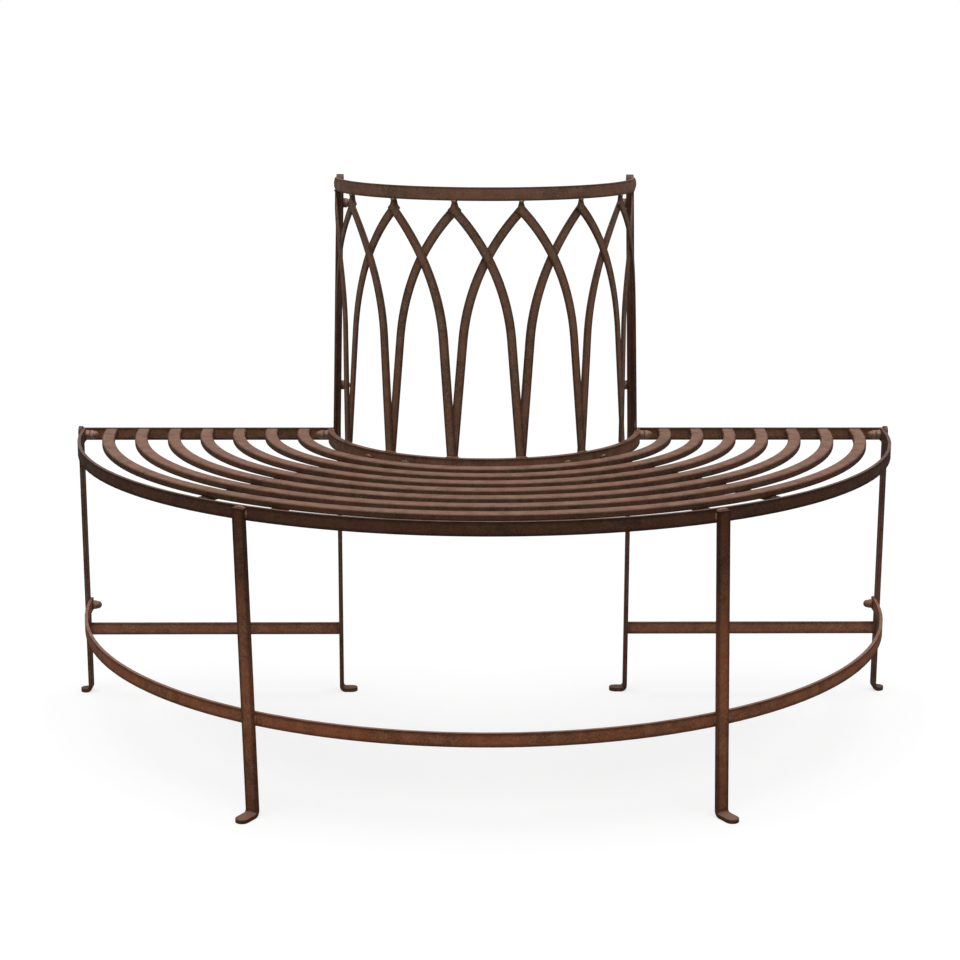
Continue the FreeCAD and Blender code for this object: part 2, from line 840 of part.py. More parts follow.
def fasteners():
    seat_height = seat_top - width / 2
    hoop_height = size("hoop_height")
    inset = size("bolt_inset")
    seat_inset = size("seat_bolt_inset")
    outer_face = leg_face + leg
    tree_face = back_inner - leg
    nut = size("nut_height")
    short_bolt = bolt("ShortBolt", bar + leg)
    outer_bolt = bolt("SeatOuterBolt", leg + bar + nut)
    inner_bolt = bolt("SeatInnerBolt", leg + 2 * bar + size("foot_rail_thickness") + nut)
    plain = hex_nut()
    domed = cap_nut()
    short_bolts = []
    outer_bolts = []
    inner_bolts = []
    plain_nuts = []
    domed_nuts = []
    for side in (-1, 1):
        for height in (size("upper_bolt_height"), size("lower_bolt_height")):
            face = upright_face(height)
            short_bolts.append(copy_at(short_bolt, len(short_bolts), side, 1, face + bar, inset, height
                                       + back_slope * (bar + leg) / 2, back_lean))
            domed_nuts.append(copy_at(domed, len(domed_nuts), side, -1, face - leg, inset, height
                                      - back_slope * (bar + leg) / 2, back_lean))
        short_bolts.append(copy_at(short_bolt, len(short_bolts), side, 1, outer_face, inset, hoop_height))
        domed_nuts.append(copy_at(domed, len(domed_nuts), side, -1, rim_inner, inset, hoop_height))
        outer_bolts.append(copy_at(outer_bolt, len(outer_bolts), side, 1, outer_face, seat_inset, seat_height))
        plain_nuts.append(copy_at(plain, len(plain_nuts), side, -1, rim_inner, seat_inset, seat_height))
        domed_nuts.append(copy_at(domed, len(domed_nuts), side, -1, rim_inner - nut, seat_inset, seat_height))
        inner_bolts.append(copy_at(inner_bolt, len(inner_bolts), side, -1, tree_face, seat_inset, seat_height))
        plain_nuts.append(copy_at(plain, len(plain_nuts), side, 1, ring_face, seat_inset, seat_height))
        domed_nuts.append(copy_at(domed, len(domed_nuts), side, 1, ring_face + nut, seat_inset, seat_height))
    group("back_and_hoop_bolts", short_bolts)
    group("seat_outer_bolts", outer_bolts)
    group("seat_inner_bolts", inner_bolts)
    group("hex_nuts", plain_nuts)
    group("cap_nuts", domed_nuts)


def build():
    seat_outer_rim()
    seat_inner_rim()
    for name, side in (("left", -1), ("right", 1)):
        seat_end_rail("seat_end_rail_" + name, side)
    for number in range(1, 8):
        seat_slat(number)
    for name, side in (("left", -1), ("right", 1)):
        outer_turn = side * size("outer_support_angle").number
        inner_turn = side * size("inner_support_angle").number
        seat_support("seat_support_outer_" + name, outer_turn, side * size("outer_support_offset"))
        seat_support("seat_support_inner_" + name, inner_turn, as_size(0))
    lower_hoop()
    leg_turn = size("front_leg_angle").number
    leg_shift = size("front_leg_shift").number
    for name, side in (("left", -1), ("right", 1)):
        front_leg("front_leg_" + name, side * leg_turn + leg_shift - 90)
        rear_outer_leg("rear_outer_leg_" + name, side)
        rear_stretcher("rear_stretcher_" + name, side)
        rear_inner_leg("rear_inner_leg_" + name, side)
        back_stile("back_stile_" + name, side)
    back_bottom_rail()
    back_top_rail()
    for place in range(7):
        lattice_bar("lattice_bar_fall_%d" % place, place, 1)
        lattice_bar("lattice_bar_rise_%d" % (place + 1), place + 1, -1)
    fasteners()


def check_and_write():
    doc.recompute()
    for item in doc.Objects:
        if "Invalid" in item.State or "Error" in item.State:
            raise RuntimeError("%s did not build" % item.Label)
    os.makedirs("parts", exist_ok=True)
    for piece in finished:
        shape = piece.Shape
        if shape.isNull() or not shape.isValid():
            raise RuntimeError("%s has no sound shape" % piece.Label)
        shape.exportStep(os.path.join("parts", piece.Label + ".step"))
        print("%-24s %d solids, %.1f cm3" % (piece.Label, len(shape.Solids), shape.Volume / 1000))


build()
check_and_write()
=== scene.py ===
import math
import random

import bmesh
import bpy
from mathutils import Matrix, Vector


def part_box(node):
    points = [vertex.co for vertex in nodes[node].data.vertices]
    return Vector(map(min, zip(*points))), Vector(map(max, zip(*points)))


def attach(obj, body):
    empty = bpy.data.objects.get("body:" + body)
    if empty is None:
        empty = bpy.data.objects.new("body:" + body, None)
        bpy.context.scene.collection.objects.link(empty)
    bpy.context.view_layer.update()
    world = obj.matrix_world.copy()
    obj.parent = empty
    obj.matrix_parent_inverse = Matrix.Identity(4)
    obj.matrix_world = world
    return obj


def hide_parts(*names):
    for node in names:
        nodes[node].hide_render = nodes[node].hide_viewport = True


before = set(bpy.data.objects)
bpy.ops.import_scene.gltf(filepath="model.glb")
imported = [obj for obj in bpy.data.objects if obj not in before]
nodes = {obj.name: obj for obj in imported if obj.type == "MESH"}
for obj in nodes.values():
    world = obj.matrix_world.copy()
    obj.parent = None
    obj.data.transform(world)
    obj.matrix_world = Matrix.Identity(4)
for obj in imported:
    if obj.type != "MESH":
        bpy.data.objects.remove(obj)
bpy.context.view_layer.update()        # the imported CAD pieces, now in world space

scene = bpy.context.scene
print("frame loaded, %d CAD pieces" % len(nodes))


# Camera, at the height and distance of the photograph

photoCamera = {
    "place": (-0.0570, -2.8861, 1.0702),
    "pitchDown": 0.2185,     # radians
    "yawRight": 0.0157,
    "roll": 0.0029,
    "lens": 75.34,
    "sensor": 36.0,
}


def placeCamera(look):
    data = bpy.data.cameras.new("photoCamera")
    data.lens = look["lens"]
    data.sensor_width = look["sensor"]
    camera = bpy.data.objects.new("photoCamera", data)
    scene.collection.objects.link(camera)
    turn = Matrix.Rotation(-look["yawRight"], 4, "Z")
    tilt = Matrix.Rotation(math.pi / 2 - look["pitchDown"], 4, "X")
    roll = Matrix.Rotation(look["roll"], 4, "Z")
    camera.matrix_world = Matrix.Translation(look["place"]) @ turn @ tilt @ roll
    scene.camera = camera


# Small helpers for shader nodes

def addNode(tree, kind, place=(0, 0), **settings):
    node = tree.nodes.new(kind)
    node.location = place
    for name, value in settings.items():
        setattr(node, name, value)
    return node


def newGroup(name, inputs, outputs):
    tree = bpy.data.node_groups.new(name, "ShaderNodeTree")
    for label, kind, value in inputs:
        socket = tree.interface.new_socket(name=label, in_out="INPUT", socket_type=kind)
        socket.default_value = value
    for label, kind in outputs:
        tree.interface.new_socket(name=label, in_out="OUTPUT", socket_type=kind)
    return tree, addNode(tree, "NodeGroupInput", (-900, 0)), addNode(tree, "NodeGroupOutput", (900, 0))


def feed(tree, socket, value):
    if isinstance(value, bpy.types.NodeSocket):
        tree.links.new(value, socket)
    else:
        socket.default_value = value


def blendColors(tree, place, factor, first, second):
    mix = addNode(tree, "ShaderNodeMix", place, data_type="RGBA")
    for socket, value in ((mix.inputs[0], factor), (mix.inputs[6], first), (mix.inputs[7], second)):
        feed(tree, socket, value)
    return mix.outputs[2]


def mathNode(tree, place, operation, first, second, clamp=False):
    node = addNode(tree, "ShaderNodeMath", place, operation=operation, use_clamp=clamp)
    for socket, value in zip(node.inputs, (first, second)):
        feed(tree, socket, value)
    return node.outputs[0]


def rampNode(tree, place, value, levels, results=(0.0, 1.0)):
    node = addNode(tree, "ShaderNodeMapRange", place, interpolation_type="SMOOTHSTEP")
    feed(tree, node.inputs["Value"], value)
    for label, number in zip(("From Min", "From Max", "To Min", "To Max"), (*levels, *results)):
        node.inputs[label].default_value = number
    return node.outputs["Result"]


def noiseNode(tree, place, vector, scale, detail, roughness):
    node = addNode(tree, "ShaderNodeTexNoise", place)
    settings = {"Vector": vector, "Scale": scale, "Detail": detail, "Roughness": roughness}
    for label, value in settings.items():
        feed(tree, node.inputs[label], value)
    return node.outputs["Fac"]


# Effects that the paints share. "Levels" are the values between which a mark fades in.

mottleShape = {
    "patchLevels": (0.34, 0.68),
    "speckLevels": (0.42, 0.60),
    "patchShare": 0.50,      # of the tone, and specks have the rest
    "driftScale": 11.0,      # of the drifts of warmer paint
    "driftLevels": (0.38, 0.62),
}

# The corner line: on the bars a painted dark line of shade along the corners, on nuts and welds a lighter
# line
edgeShape = {
    "samples": 6,
    "turnLevels": (0.001, 0.045),    # one minus the cosine of how far the smoothed corner turns
    "breakScale": 90.0,
    "breakLevels": (0.38, 0.62),
    "leastShare": 0.80,      # of the line where it is most broken
}

skinShape = {
    "fineScale": 900.0,
    "waveScale": 110.0,
    "waveShare": 0.5,
}

# The tops: a lighter, greyer colour on upward faces, partly weathering and partly a painted sheen of the
# tops, which face the light
dustAndSheenShape = {
    "slopeLevels": (0.45, 0.95),     # the upward share of the surface's normal
    "breakScale": 45.0,
    "breakLevels": (0.32, 0.66),
    "leastShare": 0.42,
}


def makeMottleGroup():
    tree, given, out = newGroup("bronzeMottle", [
        ("Dark", "NodeSocketColor", (0.05, 0.03, 0.02, 1)),
        ("Light", "NodeSocketColor", (0.12, 0.07, 0.05, 1)),
        ("Warm", "NodeSocketColor", (0.16, 0.07, 0.04, 1)),
        ("Patch Scale", "NodeSocketFloat", 60.0),
        ("Speck Scale", "NodeSocketFloat", 420.0),
        ("Warm Amount", "NodeSocketFloat", 0.4),
    ], [("Color", "NodeSocketColor"), ("Tone", "NodeSocketFloat"), ("Warmth", "NodeSocketFloat")])
    where = addNode(tree, "ShaderNodeTexCoord", (-900, -300)).outputs["Object"]
    patch = noiseNode(tree, (-650, 200), where, given.outputs["Patch Scale"], detail=4.0, roughness=0.62)
    patch = rampNode(tree, (-400, 200), patch, mottleShape["patchLevels"])
    speck = noiseNode(tree, (-650, -50), where, given.outputs["Speck Scale"], detail=2.0, roughness=0.5)
    speck = rampNode(tree, (-400, -50), speck, mottleShape["speckLevels"])
    drift = noiseNode(tree, (-650, -300), where, mottleShape["driftScale"], detail=3.0, roughness=0.55)
    drift = rampNode(tree, (-400, -300), drift, mottleShape["driftLevels"])
    patch = mathNode(tree, (-280, 200), "MULTIPLY", patch, mottleShape["patchShare"])
    speck = mathNode(tree, (-280, -50), "MULTIPLY", speck, 1 - mottleShape["patchShare"])
    tone = mathNode(tree, (-150, 120), "ADD", patch, speck)
    color = blendColors(tree, (100, 100), tone, given.outputs["Dark"], given.outputs["Light"])
    warmth = mathNode(tree, (100, -200), "MULTIPLY", drift, given.outputs["Warm Amount"])
    color = blendColors(tree, (350, 0), warmth, color, given.outputs["Warm"])
    tree.links.new(color, out.inputs["Color"])
    tree.links.new(tone, out.inputs["Tone"])
    tree.links.new(drift, out.inputs["Warmth"])
    return tree


def makeEdgeGroup():
    tree, given, out = newGroup("barEdge", [
        ("Radius", "NodeSocketFloat", 0.0012),
        ("Break Scale", "NodeSocketFloat", edgeShape["breakScale"]),
        ("Least", "NodeSocketFloat", edgeShape["leastShare"]),
        ("Amount", "NodeSocketFloat", 0.6),
    ], [("Mask", "NodeSocketFloat")])
    where = addNode(tree, "ShaderNodeTexCoord", (-900, -300)).outputs["Object"]
    rounded = addNode(tree, "ShaderNodeBevel", (-650, 150), samples=edgeShape["samples"])
    tree.links.new(given.outputs["Radius"], rounded.inputs["Radius"])
    flat = addNode(tree, "ShaderNodeNewGeometry", (-650, -50))
    dot = addNode(tree, "ShaderNodeVectorMath", (-400, 100), operation="DOT_PRODUCT")
    tree.links.new(rounded.outputs["Normal"], dot.inputs[0])
    tree.links.new(flat.outputs["True Normal"], dot.inputs[1])
    turned = mathNode(tree, (-200, 100), "SUBTRACT", 1.0, dot.outputs["Value"])
    edge = rampNode(tree, (0, 100), turned, edgeShape["turnLevels"])
    broken = noiseNode(tree, (-250, -200), where, given.outputs["Break Scale"], detail=3.0, roughness=0.6)
    broken = rampNode(tree, (0, -200), broken, edgeShape["breakLevels"])
    broken = mathNode(tree, (150, -200), "MAXIMUM", broken, given.outputs["Least"])
    mask = mathNode(tree, (300, 0), "MULTIPLY", edge, broken)
    mask = mathNode(tree, (500, 0), "MULTIPLY", mask, given.outputs["Amount"], clamp=True)
    tree.links.new(mask, out.inputs["Mask"])
    return tree


def makeSkinGroup():
    tree, given, out = newGroup("sprayedSkin", [
        ("Fine Scale", "NodeSocketFloat", skinShape["fineScale"]),
        ("Wave Scale", "NodeSocketFloat", skinShape["waveScale"]),
        ("Wave Share", "NodeSocketFloat", skinShape["waveShare"]),
    ], [("Height", "NodeSocketFloat")])
    where = addNode(tree, "ShaderNodeTexCoord", (-900, -300)).outputs["Object"]
    fine = noiseNode(tree, (-500, 150), where, given.outputs["Fine Scale"], detail=2.0, roughness=0.5)
    wave = noiseNode(tree, (-500, -150), where, given.outputs["Wave Scale"], detail=3.0, roughness=0.6)
    wave = mathNode(tree, (-200, -150), "MULTIPLY", wave, given.outputs["Wave Share"])
    tree.links.new(mathNode(tree, (200, 0), "ADD", fine, wave), out.inputs["Height"])
    return tree


def makeDustAndSheenGroup():
    tree, given, out = newGroup("dustAndSheenTop", [
        ("Amount", "NodeSocketFloat", 0.5),
        ("Break Scale", "NodeSocketFloat", dustAndSheenShape["breakScale"]),
    ], [("Mask", "NodeSocketFloat")])
    where = addNode(tree, "ShaderNodeTexCoord", (-900, -300)).outputs["Object"]
    normal = addNode(tree, "ShaderNodeNewGeometry", (-700, 150)).outputs["True Normal"]
    facing = addNode(tree, "ShaderNodeSeparateXYZ", (-500, 150))
    tree.links.new(normal, facing.inputs[0])
    up = rampNode(tree, (-250, 150), facing.outputs["Z"], dustAndSheenShape["slopeLevels"])
    patch = noiseNode(tree, (-500, -150), where, given.outputs["Break Scale"], detail=4.0, roughness=0.6)
    patch = rampNode(tree, (-250, -150), patch, dustAndSheenShape["breakLevels"], (dustAndSheenShape["leastShare"], 1.0))
    mask = mathNode(tree, (100, 0), "MULTIPLY", up, patch)
    mask = mathNode(tree, (300, 0), "MULTIPLY", mask, given.outputs["Amount"], clamp=True)
    tree.links.new(mask, out.inputs["Mask"])
    return tree


effects = {
    "mottle": makeMottleGroup(),
    "edge": makeEdgeGroup(),
    "skin": makeSkinGroup(),
    "dustAndSheen": makeDustAndSheenGroup(),
}
print("shared effects ready")


# Paints, in linear red, green and blue. The bars are one bronze paint, given here as lighter and darker
# copies part by part:
# these levels are painted light and shade, darker on the rim, slats, supports, rear legs and stiles as
# painted shade, lighter on the front legs, hoop and stretchers as painted light, and the rails and back in
# between. "edge" is the colour
# along the corners: on the bars a painted dark line of shade, and lighter on nuts and welds. "dust" is the
# colour of the weathered tops and also a painted sheen on the tops, which face the light. "shadeUnderSeat"
# and "shadeAtFloor" say how much darker a leg is there, as painted shade.

paints = {
    # darker than the rails, as painted shade
    "rimPaintShaded": {
        "dark": (0.069, 0.029, 0.014), "light": (0.164, 0.075, 0.040), "warm": (0.160, 0.056, 0.028),
        "edge": (0.019, 0.009, 0.005), "dustAndSheen": (0.225, 0.140, 0.112),
        "patchScale": 52, "speckScale": 420, "warmAmount": 0.45,
        "edgeRadius": 0.0090, "edgeAmount": 0.95, "dustAndSheenAmount": 0.85,
        "roughness": (0.44, 0.58), "bump": 0.20,
    },
    "railPaint": {
        "dark": (0.137, 0.064, 0.035), "light": (0.314, 0.159, 0.091), "warm": (0.304, 0.116, 0.065),
        "edge": (0.042, 0.021, 0.012), "dustAndSheen": (0.240, 0.140, 0.105),
        "patchScale": 52, "speckScale": 420, "warmAmount": 0.45,
        "edgeRadius": 0.0090, "edgeAmount": 0.95, "dustAndSheenAmount": 0.65,
        "roughness": (0.42, 0.56), "bump": 0.20,
    },
    # darker, and darker still on the tops, as painted shade under the slats
    "supportPaintShaded": {
        "dark": (0.063, 0.030, 0.019), "light": (0.143, 0.075, 0.046), "warm": (0.142, 0.056, 0.032),
        "edge": (0.020, 0.010, 0.006), "dustAndSheen": (0.032, 0.018, 0.011),
        "patchScale": 52, "speckScale": 420, "warmAmount": 0.45,
        "edgeRadius": 0.0090, "edgeAmount": 0.95, "dustAndSheenAmount": 0.80,
        "roughness": (0.44, 0.58), "bump": 0.20,
    },
    # darker than the rails, as painted shade
    "slatPaintShaded": {
        "dark": (0.083, 0.037, 0.020), "light": (0.189, 0.093, 0.053), "warm": (0.188, 0.072, 0.039),
        "edge": (0.024, 0.012, 0.007), "dustAndSheen": (0.296, 0.170, 0.121),
        "patchScale": 55, "speckScale": 420, "warmAmount": 0.45,
        "edgeRadius": 0.0040, "edgeAmount": 0.95, "dustAndSheenAmount": 0.95,
        "roughness": (0.44, 0.56), "bump": 0.18,
    },
    # lighter, as painted light, with painted shade towards the seat and the floor
    "legPaintLit": {
        "dark": (0.207, 0.079, 0.036), "light": (0.482, 0.200, 0.095), "warm": (0.509, 0.156, 0.066),
        "edge": (0.065, 0.026, 0.013), "dustAndSheen": (0.400, 0.270, 0.200),
        "patchScale": 48, "speckScale": 380, "warmAmount": 0.45,
        "edgeRadius": 0.0090, "edgeAmount": 0.95, "dustAndSheenAmount": 0.80,
        "roughness": (0.42, 0.54), "bump": 0.22, "shadeUnderSeat": 0.62, "shadeAtFloor": 0.36,
    },
    # darker, as painted shade, also on the stiles, with painted shade towards the seat and the floor
    "rearLegPaintShaded": {
        "dark": (0.129, 0.061, 0.036), "light": (0.308, 0.159, 0.101), "warm": (0.319, 0.124, 0.072),
        "edge": (0.036, 0.018, 0.011), "dustAndSheen": (0.170, 0.105, 0.078),
        "patchScale": 48, "speckScale": 380, "warmAmount": 0.45,
        "edgeRadius": 0.0035, "edgeAmount": 0.60, "dustAndSheenAmount": 0.60,
        "roughness": (0.46, 0.60), "bump": 0.22, "shadeUnderSeat": 0.30, "shadeAtFloor": 0.20,
    },
    # lighter, as painted light
    "hoopPaintLit": {
        "dark": (0.211, 0.077, 0.035), "light": (0.489, 0.197, 0.092), "warm": (0.519, 0.154, 0.063),
        "edge": (0.064, 0.026, 0.013), "dustAndSheen": (0.360, 0.225, 0.165),
        "patchScale": 48, "speckScale": 380, "warmAmount": 0.45,
        "edgeRadius": 0.0090, "edgeAmount": 0.95, "dustAndSheenAmount": 0.85,
        "roughness": (0.42, 0.54), "bump": 0.22,
    },
    # lighter, as painted light
    "stretcherPaintLit": {
        "dark": (0.268, 0.119, 0.067), "light": (0.616, 0.289, 0.168), "warm": (0.604, 0.215, 0.120),
        "edge": (0.085, 0.039, 0.021), "dustAndSheen": (0.300, 0.185, 0.130),
        "patchScale": 48, "speckScale": 380, "warmAmount": 0.45,
        "edgeRadius": 0.0090, "edgeAmount": 0.95, "dustAndSheenAmount": 0.70,
        "roughness": (0.42, 0.54), "bump": 0.22,
    },
    "backPaint": {
        "dark": (0.160, 0.085, 0.049), "light": (0.366, 0.216, 0.140), "warm": (0.370, 0.165, 0.099),
        "edge": (0.051, 0.028, 0.018), "dustAndSheen": (0.300, 0.180, 0.130),
        "patchScale": 62, "speckScale": 460, "warmAmount": 0.45,
        "edgeRadius": 0.0065, "edgeAmount": 0.95, "dustAndSheenAmount": 0.60,
        "roughness": (0.42, 0.54), "bump": 0.20,
    },
    "nutPaint": {
        "dark": (0.187, 0.093, 0.056), "light": (0.306, 0.170, 0.115), "warm": (0.315, 0.153, 0.093),
        "edge": (0.550, 0.360, 0.270), "dustAndSheen": (0.340, 0.200, 0.145),
        "patchScale": 140, "speckScale": 600, "warmAmount": 0.35,
        "edgeRadius": 0.0008, "edgeAmount": 0.70, "dustAndSheenAmount": 0.30,
        "roughness": (0.32, 0.44), "bump": 0.12,
    },
    "weldPaint": {
        "dark": (0.190, 0.090, 0.052), "light": (0.330, 0.175, 0.112), "warm": (0.350, 0.160, 0.090),
        "edge": (0.500, 0.320, 0.230), "dustAndSheen": (0.330, 0.200, 0.140),
        "patchScale": 160, "speckScale": 700, "warmAmount": 0.35,
        "edgeRadius": 0.0010, "edgeAmount": 0.30, "dustAndSheenAmount": 0.40,
        "roughness": (0.36, 0.50), "bump": 0.35,
    },
}

# Painted shade on the legs by height, and a tint of the tops' colour
shadeAndDustTint = {
    "seatShadeReach": (0.19, 0.43),       # heights between which the legs are painted darker towards the seat, as painted shade
    "floorShadeReach": (0.01, 0.16),      # and towards the floor, also as painted shade
    "dustAndSheenWarmth": (1.05, 0.94, 0.94),        # change of the tops' colour, weathering and painted sheen, where the paint is warmer
}

gloss = {
    "specular": 0.28,
    "dustRoughness": 0.06,   # added where a top is weathered
    "bumpDepth": 0.0006,
}


def placeGroup(tree, key, place, **values):
    node = addNode(tree, "ShaderNodeGroup", place, node_tree=effects[key])
    for label, value in values.items():
        socket = node.inputs[label.replace("_", " ")]
        socket.default_value = (*value, 1) if isinstance(value, tuple) else value
    return node


def mixPaint(name, look):
    paint = bpy.data.materials.new(name)
    paint.use_nodes = True
    tree = paint.node_tree
    shader = tree.nodes["Principled BSDF"]
    mottle = placeGroup(tree, "mottle", (-900, 300), Dark=look["dark"], Light=look["light"],
                        Warm=look["warm"], Patch_Scale=look["patchScale"],
                        Speck_Scale=look["speckScale"], Warm_Amount=look["warmAmount"])
    edge = placeGroup(tree, "edge", (-900, -50), Radius=look["edgeRadius"], Amount=look["edgeAmount"])
    dustAndSheen = placeGroup(tree, "dustAndSheen", (-900, -250), Amount=look["dustAndSheenAmount"])
    skin = placeGroup(tree, "skin", (-900, -450))
    warmer = tuple(value * change for value, change in zip(look["dustAndSheen"], shadeAndDustTint["dustAndSheenWarmth"]))
    dustAndSheenColor = blendColors(tree, (-750, 0), mottle.outputs["Warmth"], (*look["dustAndSheen"], 1), (*warmer, 1))
    color = mottle.outputs["Color"]
    # painted shade along the bars' corners; lighter corners on nuts and welds
    color = blendColors(tree, (-600, 200), edge.outputs["Mask"], color, (*look["edge"], 1))
    # lighter, greyer tops: weathering and painted sheen
    color = blendColors(tree, (-350, 200), dustAndSheen.outputs["Mask"], color, dustAndSheenColor)
    # Painted shade: a leg darker towards the seat above it and towards the floor
    if "shadeUnderSeat" in look:
        where = addNode(tree, "ShaderNodeTexCoord", (-1100, 700)).outputs["Object"]
        place = addNode(tree, "ShaderNodeSeparateXYZ", (-900, 700))
        tree.links.new(where, place.inputs[0])
        height = place.outputs["Z"]
        high = rampNode(tree, (-700, 800), height, shadeAndDustTint["seatShadeReach"], (0.0, look["shadeUnderSeat"]))
        low = rampNode(tree, (-700, 600), height, shadeAndDustTint["floorShadeReach"], (look["shadeAtFloor"], 0.0))
        shade = mathNode(tree, (-500, 700), "MAXIMUM", high, low)
        color = blendColors(tree, (-150, 400), shade, color, (0, 0, 0, 1))
    tree.links.new(color, shader.inputs["Base Color"])
    smooth, rough = look["roughness"]
    roughness = rampNode(tree, (-600, -100), mottle.outputs["Tone"], (0.0, 1.0), (rough, smooth))
    rougher = mathNode(tree, (-600, -300), "MULTIPLY", dustAndSheen.outputs["Mask"], gloss["dustRoughness"])
    roughness = mathNode(tree, (-350, -100), "ADD", roughness, rougher)
    tree.links.new(roughness, shader.inputs["Roughness"])
    bump = addNode(tree, "ShaderNodeBump", (-350, -400))
    bump.inputs["Strength"].default_value = look["bump"]
    bump.inputs["Distance"].default_value = gloss["bumpDepth"]
    tree.links.new(skin.outputs["Height"], bump.inputs["Height"])
    tree.links.new(bump.outputs["Normal"], shader.inputs["Normal"])
    shader.inputs["Metallic"].default_value = 0.0
    shader.inputs["Specular IOR Level"].default_value = gloss["specular"]
    return paint


materials = {name: mixPaint(name, look) for name, look in paints.items()}
print("paints mixed: %s" % ", ".join(materials))


# Steel bars: a merged copy of each CAD piece, its corners softened as rolling and paint soften them

barFinish = {
    "plainCorner": (0.0007, 2),      # width and steps of the rounding
    "slatCorner": (0.0011, 3),
    "flatWithin": 0.4,               # degrees between faces that count as one
    "sharpFrom": 28,                 # degrees between faces that make a corner
    "mergeWithin": 0.000005,
    "shadingWeight": 60,
}

paintOf = {                  # by the start of the piece's name, the first that fits
    "seat_slat": "slatPaintShaded",
    "seat_outer_rim": "rimPaintShaded",
    "seat_support": "supportPaintShaded",
    "seat_": "railPaint",
    "back_stile": "rearLegPaintShaded",
    "back_": "backPaint",
    "lattice": "backPaint",
    "lower_hoop": "hoopPaintLit",
    "rear_stretcher": "stretcherPaintLit",
    "rear_": "rearLegPaintShaded",
    "front_leg": "legPaintLit",
}


def takePaint(name):
    return next(paint for start, paint in paintOf.items() if name.startswith(start))


def mergedCopy(name):
    bm = bmesh.new()
    bm.from_mesh(nodes[name].data)
    bmesh.ops.remove_doubles(bm, verts=bm.verts, dist=barFinish["mergeWithin"])
    return bm


def softenCorners(bm, width, steps):
    flat = math.radians(barFinish["flatWithin"])
    sharp = math.radians(barFinish["sharpFrom"])
    bmesh.ops.dissolve_limit(bm, angle_limit=flat, verts=bm.verts, edges=bm.edges)
    corners = [edge for edge in bm.edges if edge.is_manifold and edge.calc_face_angle(0.0) > sharp]
    bmesh.ops.bevel(bm, geom=corners, offset=width, offset_type="OFFSET", segments=steps, profile=0.5,
                    affect="EDGES", clamp_overlap=True, material=-1)


def finishPiece(bm, name, paint, stands=()):
    for face in bm.faces:
        face.smooth = True
    mesh = bpy.data.meshes.new(name)
    bm.to_mesh(mesh)
    bm.free()
    mesh.materials.append(materials[paint])
    piece = bpy.data.objects.new(name, mesh)
    scene.collection.objects.link(piece)
    weighted = piece.modifiers.new("evenShading", "WEIGHTED_NORMAL")
    weighted.weight = barFinish["shadingWeight"]
    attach(piece, "root")
    if stands:
        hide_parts(*stands)
    return piece


def paintBars():
    for name in sorted(nodes):
        if name.endswith(("bolts", "nuts")):
            continue
        paint = takePaint(name)
        nodes[name].data.materials.clear()
        nodes[name].data.materials.append(materials[paint])
        bm = mergedCopy(name)
        softenCorners(bm, *barFinish["slatCorner" if name.startswith("seat_slat") else "plainCorner"])
        finishPiece(bm, name + "_painted", paint, [name])


paintBars()
print("bars softened and painted")


# Nuts and bolts: a finer one at the place of each plain one

nutShape = {
    "domeShare": 0.84,       # of the hexagon's reach to its corners
    "domeSides": 28,
    "domeSteps": 14,
    "standsProud": 0.0005,   # of the plain dome, whose facets cut inside the round
    "chamfer": 0.0006,
}

boltShape = {
    "sides": 36,
    "edge": 0.0004,
    "shankShare": 0.5,       # of the head's reach
    "socketReach": 0.0030,   # to the corners of the hexagon socket
    "socketDepth": 0.0026,
}

fastenerReading = {
    "endDepth": 0.0006,      # how near a point lies to the end it belongs to
    "fullShare": 0.95,       # of the widest reach, from which a point counts as on the head or hexagon
}


def looseParts(name):
    bm = mergedCopy(name)
    bm.verts.index_update()
    seen = set()
    parts = []
    for start in bm.verts:
        if start.index in seen:
            continue
        seen.add(start.index)
        fringe = [start]
        points = []
        while fringe:
            vert = fringe.pop()
            points.append(vert.co.copy())
            for edge in vert.link_edges:
                other = edge.other_vert(vert)
                if other.index not in seen:
                    seen.add(other.index)
                    fringe.append(other)
        parts.append(points)
    bm.free()
    return parts


def middleOf(points):
    return sum(points, Vector()) / len(points)


def readFastener(points):
    ends = []                # every bolt and nut lies along X, give or take the back's lean
    for edge in (min(p.x for p in points), max(p.x for p in points)):
        ring = [p for p in points if abs(p.x - edge) < fastenerReading["endDepth"]]
        middle = middleOf(ring)
        ends.append((max((p - middle).length for p in ring), middle))
    narrow, wide = sorted(ends, key=lambda end: end[0])
    seat = wide[1]           # the wide end is the bolt's head or the nut's seat
    along = (narrow[1] - seat).normalized()
    depths = [((p - seat).dot(along), p) for p in points]
    full = fastenerReading["fullShare"] * wide[0]
    deep = max(depth for depth, p in depths if (p - seat - along * depth).length > full)
    long = (narrow[1] - seat).length
    return {"seat": seat, "along": along, "reach": wide[0], "long": long, "deep": deep}


def placeAlong(found):
    along = found["along"]
    top = (Vector((0, 0, 1)) - along * along.z).normalized()
    side = top.cross(along)
    turn = Matrix((side, top, along)).transposed().to_4x4()
    return Matrix.Translation(found["seat"]) @ turn


def edgesAt(bm, verts):
    bm.edges.index_update()  # sorted, so that every run takes them in the same order
    return sorted({edge for vert in verts for edge in vert.link_edges}, key=lambda edge: edge.index)


def pickedFrom(made, kind):
    return [item for item in made["geom"] if isinstance(item, kind)]


